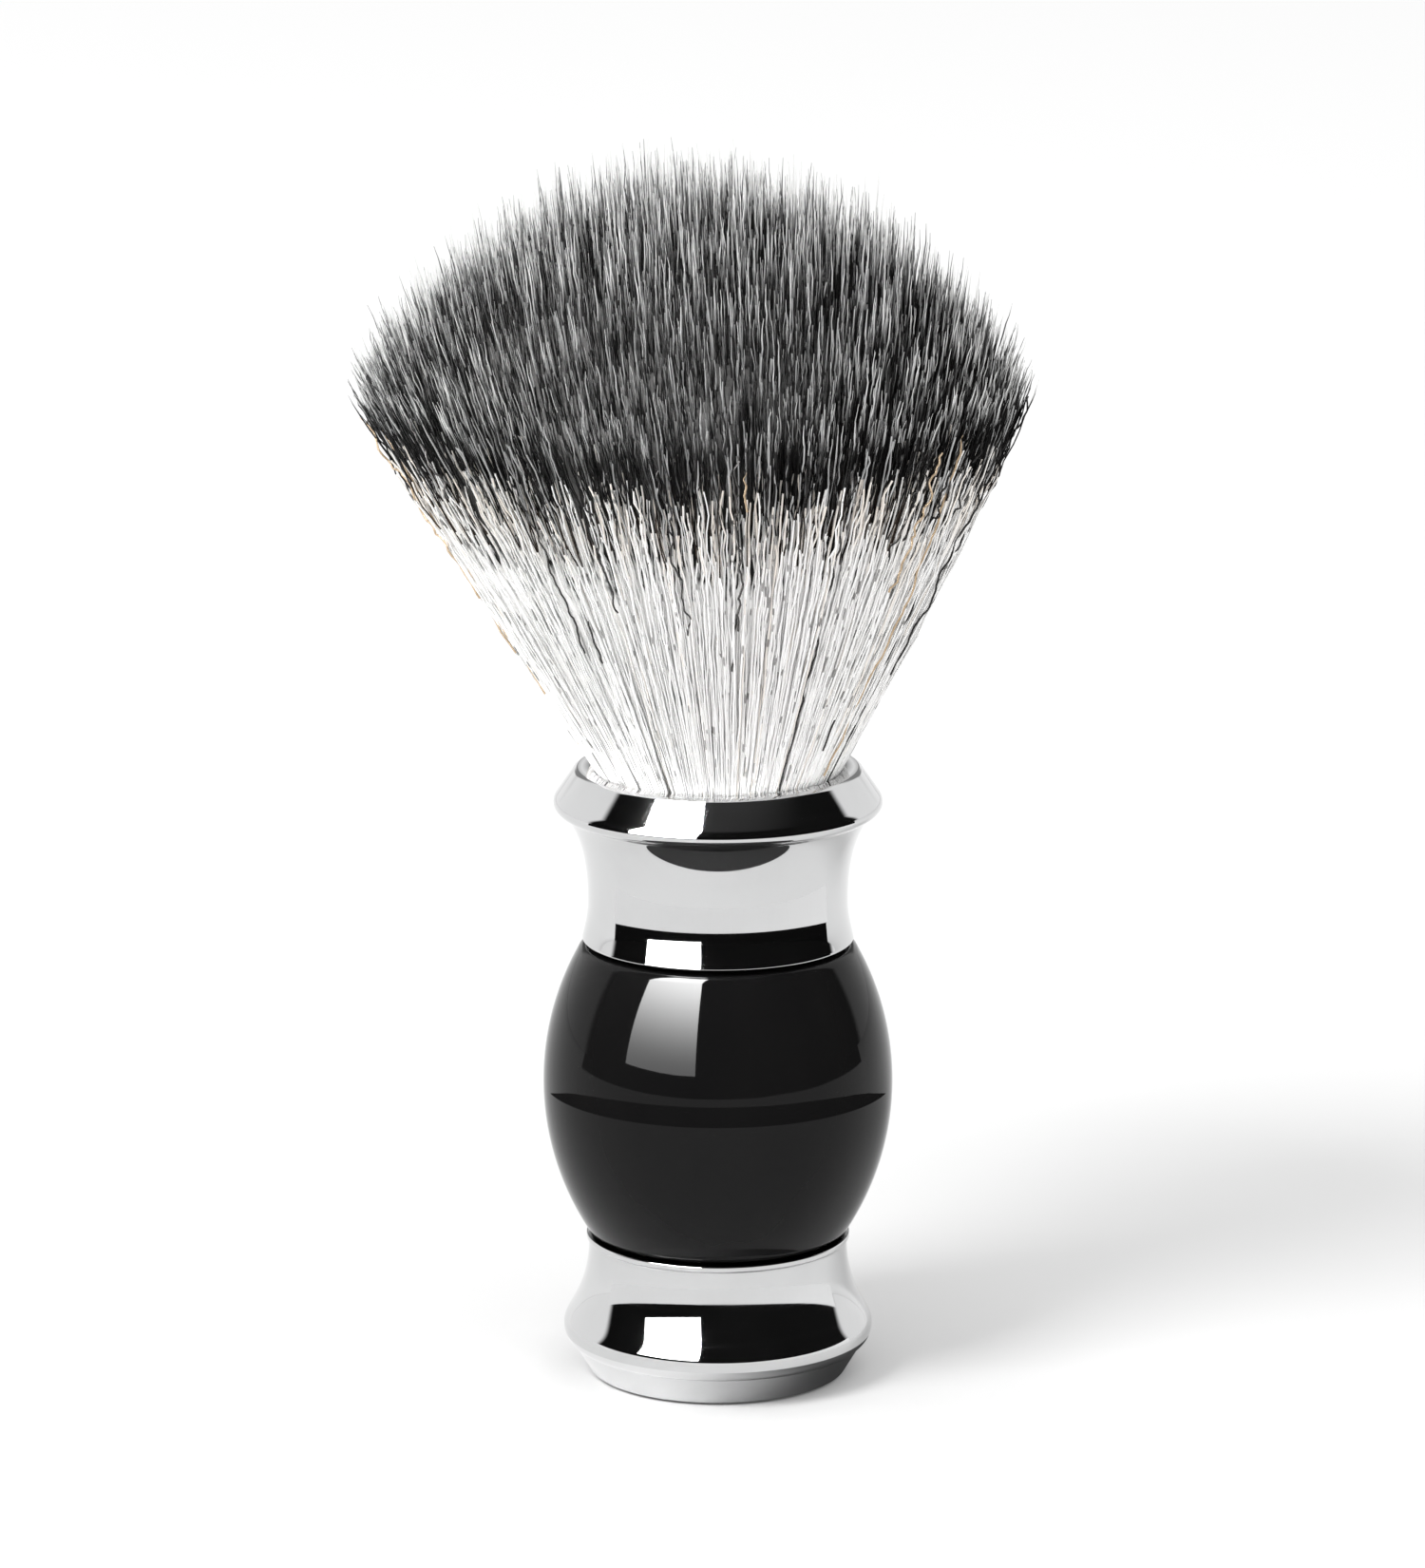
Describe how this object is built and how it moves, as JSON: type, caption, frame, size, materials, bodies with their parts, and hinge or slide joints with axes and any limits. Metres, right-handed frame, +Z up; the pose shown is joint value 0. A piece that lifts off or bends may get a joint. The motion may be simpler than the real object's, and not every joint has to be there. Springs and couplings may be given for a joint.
{
  "type": "shaving brush",
  "caption": "Shaving brush with a fanned banded fibre knot in a chromed collar, a bulging black barrel and a chromed foot, drawn together by a long hidden screw.",
  "frame": {"origin": "middle of the foot pad's underside, on the surface that the brush stands on", "axes": "+Z up along the brush's turning axis, from the foot to the crown of the fibres; +Y away from the viewer, +X to the viewer's right"},
  "size_m": [0.0622, 0.0622, 0.113],
  "materials": {
    "chrome": "polished",
    "black_resin": "gloss",
    "steel": "satin",
    "rubber": "matte",
    "glue": "gloss",
    "nylon": "matte",
    "thread": "matte",
    "fibre": "satin"
  },
  "bodies": {
    "handle": {"foot_pad": "rubber", "foot_cover": "steel", "foot": "chrome", "balance_weight": "steel", "tie_screw": "steel", "flat_washer": "steel", "spring_washer": "steel", "lower_seal": "rubber", "barrel": "black_resin"},
    "lift": {"upper_seal": "rubber"},
    "collar": {"collar": "chrome", "glue_bed": "glue", "knot_cup": "nylon", "root_potting": "glue", "root_binding": "thread", "fibre_roots": "fibre"},
    "bristles": {"fibre_head": "fibre"}
  },
  "joints": [
    {"name": "collar_lift", "type": "slide", "parent": "handle", "child": "lift", "axis": [0, 0, 1], "range_m": [0, 0.009]},
    {"name": "collar_unscrew", "type": "hinge", "parent": "lift", "child": "collar", "pos_m": [0, 0, 0.0409], "axis": [0, 0, 1], "range_deg": [0, 3240]},
    {"name": "bristle_sway", "type": "hinge", "parent": "collar", "child": "bristles", "pos_m": [0, 0, 0.057], "axis": [0, 1, 0], "range_deg": [-30, 30], "stiffness_Nm_per_rad": 0.18}
  ],
  "couplings": [
    {"joint": "collar_lift", "follows": "collar_unscrew", "m_per_rad": 0.00015915}
  ]
}
